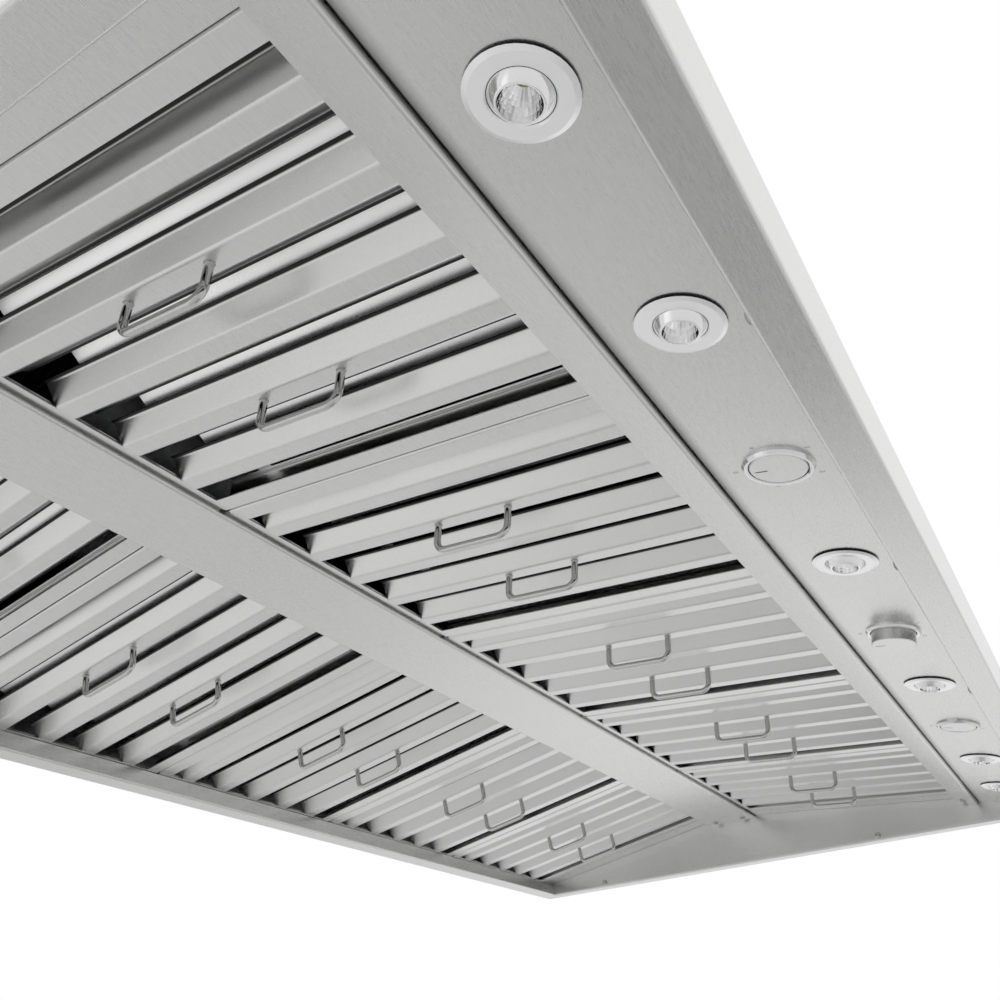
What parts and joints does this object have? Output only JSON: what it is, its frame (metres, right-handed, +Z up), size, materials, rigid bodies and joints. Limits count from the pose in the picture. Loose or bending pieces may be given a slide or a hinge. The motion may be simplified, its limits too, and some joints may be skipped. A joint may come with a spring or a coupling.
{
  "type": "wall mount range hood",
  "caption": "Wide wall mount range hood: sloped steel canopy, lift-out baffle filters with wire handles, a strip of lamps and pop-out knobs, blowers and damped duct collars.",
  "frame": {"origin": "middle of the four wall screw holes, on the outer back face that lies against the wall", "axes": "+X along the hood's width to the right as seen from the front, +Y into the wall, +Z up"},
  "size_m": [1.524, 0.832, 0.519],
  "materials": {
    "stainless_sheet": "number 4 brushed stainless, grain along the width",
    "filter_steel": "brushed stainless, grain across the channels",
    "handle_wire": "polished stainless wire",
    "screw_steel": "plain stainless",
    "lamp_trim": "satin silver",
    "reflector": "bright faceted metal",
    "emitter": "pale yellow phosphor",
    "lamp_can": "die cast",
    "polished_chrome": "bright chrome",
    "knob_steel": "brushed disc face",
    "plain_steel": "turned steel",
    "switch_plastic": "moulded black",
    "galvanised": "galvanised sheet",
    "motor_paint": "black enamel",
    "impeller_metal": "pressed sheet",
    "driver_case": "white moulded case"
  },
  "bodies": {
    "hood_body": {"front_panel": "stainless_sheet", "back_panel": "stainless_sheet", "top_panel": "stainless_sheet", "left_end_panel": "stainless_sheet", "right_end_panel": "stainless_sheet", "left_end_liner": "stainless_sheet", "right_end_liner": "stainless_sheet", "control_panel": "stainless_sheet", "front_rail": "stainless_sheet", "center_rail": "stainless_sheet", "rear_gutter": "stainless_sheet", "end_fillers": "stainless_sheet", "screws": "screw_steel", "lamp_trims": "lamp_trim", "lamp_reflectors": "reflector", "lamp_emitters": "emitter", "lamp_cans": "lamp_can", "knob_bezels": "polished_chrome", "rotary_switches": "switch_plastic", "left_blower_housing": "galvanised", "left_blower_motor": "motor_paint", "left_duct_collar": "galvanised", "right_blower_housing": "galvanised", "right_blower_motor": "motor_paint", "right_duct_collar": "galvanised", "junction_box": "galvanised", "led_driver": "driver_case"},
    "knob_1_slider": {"knob_1_stem": "plain_steel"},
    "knob_1": {"knob_1_cap": "knob_steel"},
    "knob_2_slider": {"knob_2_stem": "plain_steel"},
    "knob_2": {"knob_2_cap": "knob_steel"},
    "knob_3_slider": {"knob_3_stem": "plain_steel"},
    "knob_3": {"knob_3_cap": "knob_steel"},
    "filter_front_1": {"filter_front_1": "filter_steel", "filter_front_1_handles": "handle_wire"},
    "filter_front_2": {"filter_front_2": "filter_steel", "filter_front_2_handles": "handle_wire"},
    "filter_front_3": {"filter_front_3": "filter_steel", "filter_front_3_handles": "handle_wire"},
    "filter_front_4": {"filter_front_4": "filter_steel", "filter_front_4_handles": "handle_wire"},
    "filter_front_5": {"filter_front_5": "filter_steel", "filter_front_5_handles": "handle_wire"},
    "filter_rear_1": {"filter_rear_1": "filter_steel", "filter_rear_1_handles": "handle_wire"},
    "filter_rear_2": {"filter_rear_2": "filter_steel", "filter_rear_2_handles": "handle_wire"},
    "filter_rear_3": {"filter_rear_3": "filter_steel", "filter_rear_3_handles": "handle_wire"},
    "filter_rear_4": {"filter_rear_4": "filter_steel", "filter_rear_4_handles": "handle_wire"},
    "filter_rear_5": {"filter_rear_5": "filter_steel", "filter_rear_5_handles": "handle_wire"},
    "left_impeller": {"left_impeller": "impeller_metal"},
    "left_damper_rear": {"left_damper_rear": "galvanised"},
    "left_damper_front": {"left_damper_front": "galvanised"},
    "right_impeller": {"right_impeller": "impeller_metal"},
    "right_damper_rear": {"right_damper_rear": "galvanised"},
    "right_damper_front": {"right_damper_front": "galvanised"}
  },
  "joints": [
    {"name": "knob_1_push", "type": "slide", "parent": "hood_body", "child": "knob_1_slider", "axis": [0, 0.2008, -0.9796], "range_m": [0, 0.01]},
    {"name": "knob_1_turn", "type": "hinge", "parent": "knob_1_slider", "child": "knob_1", "pos_m": [-0.3136, -0.7728, -0.31997], "axis": [0, 0.2008, -0.9796], "range_deg": [0, 288]},
    {"name": "knob_2_push", "type": "slide", "parent": "hood_body", "child": "knob_2_slider", "axis": [0, 0.2008, -0.9796], "range_m": [-0.01, 0]},
    {"name": "knob_2_turn", "type": "hinge", "parent": "knob_2_slider", "child": "knob_2", "pos_m": [0, -0.7728, -0.31997], "axis": [0, 0.2008, -0.9796], "range_deg": [0, 288]},
    {"name": "knob_3_push", "type": "slide", "parent": "hood_body", "child": "knob_3_slider", "axis": [0, 0.2008, -0.9796], "range_m": [0, 0.01]},
    {"name": "knob_3_turn", "type": "hinge", "parent": "knob_3_slider", "child": "knob_3", "pos_m": [0.3136, -0.7728, -0.31997], "axis": [0, 0.2008, -0.9796], "range_deg": [0, 288]},
    {"name": "filter_front_1_slide", "type": "slide", "parent": "hood_body", "child": "filter_front_1", "axis": [0, -0.9947, -0.1028], "range_m": [0, 0.0075]},
    {"name": "filter_front_2_slide", "type": "slide", "parent": "hood_body", "child": "filter_front_2", "axis": [0, -0.9947, -0.1028], "range_m": [0, 0.0075]},
    {"name": "filter_front_3_slide", "type": "slide", "parent": "hood_body", "child": "filter_front_3", "axis": [0, -0.9947, -0.1028], "range_m": [0, 0.0075]},
    {"name": "filter_front_4_slide", "type": "slide", "parent": "hood_body", "child": "filter_front_4", "axis": [0, -0.9947, -0.1028], "range_m": [0, 0.0075]},
    {"name": "filter_front_5_slide", "type": "slide", "parent": "hood_body", "child": "filter_front_5", "axis": [0, -0.9947, -0.1028], "range_m": [0, 0.0075]},
    {"name": "filter_rear_1_slide", "type": "slide", "parent": "hood_body", "child": "filter_rear_1", "axis": [0, 0.9843, -0.1764], "range_m": [0, 0.0065]},
    {"name": "filter_rear_2_slide", "type": "slide", "parent": "hood_body", "child": "filter_rear_2", "axis": [0, 0.9843, -0.1764], "range_m": [0, 0.0065]},
    {"name": "filter_rear_3_slide", "type": "slide", "parent": "hood_body", "child": "filter_rear_3", "axis": [0, 0.9843, -0.1764], "range_m": [0, 0.0065]},
    {"name": "filter_rear_4_slide", "type": "slide", "parent": "hood_body", "child": "filter_rear_4", "axis": [0, 0.9843, -0.1764], "range_m": [0, 0.0065]},
    {"name": "filter_rear_5_slide", "type": "slide", "parent": "hood_body", "child": "filter_rear_5", "axis": [0, 0.9843, -0.1764], "range_m": [0, 0.0065]},
    {"name": "left_impeller_spin", "type": "hinge", "parent": "hood_body", "child": "left_impeller", "pos_m": [-0.38, -0.186, -0.0448], "axis": [1, 0, 0], "continuous": true},
    {"name": "left_damper_rear_swing", "type": "hinge", "parent": "hood_body", "child": "left_damper_rear", "pos_m": [-0.38, -0.12, 0.1462], "axis": [1, 0, 0], "range_deg": [0, 75]},
    {"name": "left_damper_front_swing", "type": "hinge", "parent": "hood_body", "child": "left_damper_front", "pos_m": [-0.38, -0.12, 0.1462], "axis": [-1, 0, 0], "range_deg": [0, 75]},
    {"name": "right_impeller_spin", "type": "hinge", "parent": "hood_body", "child": "right_impeller", "pos_m": [0.38, -0.186, -0.0448], "axis": [1, 0, 0], "continuous": true},
    {"name": "right_damper_rear_swing", "type": "hinge", "parent": "hood_body", "child": "right_damper_rear", "pos_m": [0.38, -0.12, 0.1462], "axis": [1, 0, 0], "range_deg": [0, 75]},
    {"name": "right_damper_front_swing", "type": "hinge", "parent": "hood_body", "child": "right_damper_front", "pos_m": [0.38, -0.12, 0.1462], "axis": [-1, 0, 0], "range_deg": [0, 75]}
  ]
}
